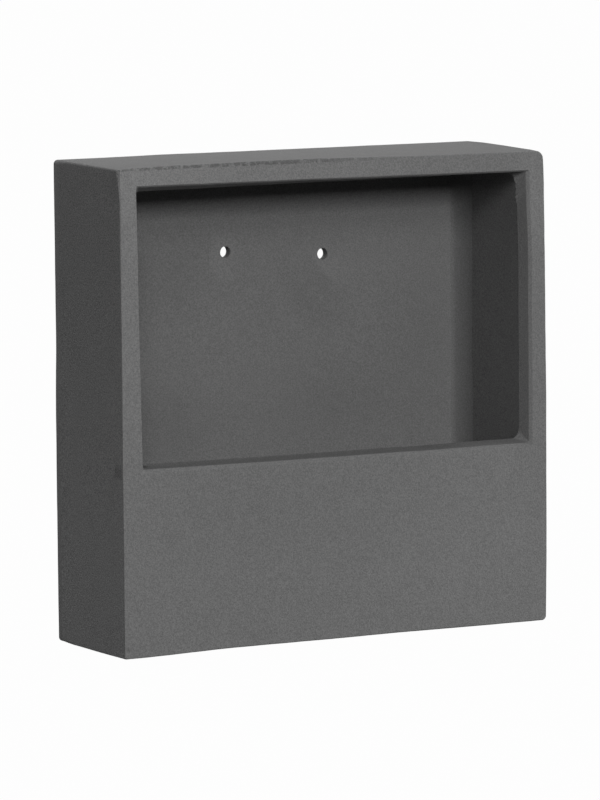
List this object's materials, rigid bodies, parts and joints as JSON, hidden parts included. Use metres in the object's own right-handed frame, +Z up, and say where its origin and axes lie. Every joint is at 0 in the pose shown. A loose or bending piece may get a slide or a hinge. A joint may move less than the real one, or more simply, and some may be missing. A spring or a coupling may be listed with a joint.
{
  "type": "wall planter",
  "caption": "Square wall-hung planter with a deep box body, a wide window above a closed soil trough, fixing holes in its back panel and a stopped drain.",
  "frame": {"origin": "middle of the underside, at the level the planter stands on", "axes": "+Z up; -Y is the open front with the window, +Y is the back that lies against the wall; +X is to the right, seen from the front"},
  "size_m": [0.4, 0.12, 0.4],
  "materials": {
    "fibre_clay": "matte",
    "bonding_paste": "matte",
    "stopper_rubber": "matte"
  },
  "bodies": {
    "planter": {"front_shell": "fibre_clay", "back_panel": "fibre_clay", "bonding_cove": "bonding_paste"},
    "stopper": {"drain_stopper": "stopper_rubber"}
  },
  "joints": [
    {"name": "stopper_lift", "type": "slide", "parent": "planter", "child": "stopper", "axis": [0, 0, 1], "range_m": [0, 0.03]}
  ]
}
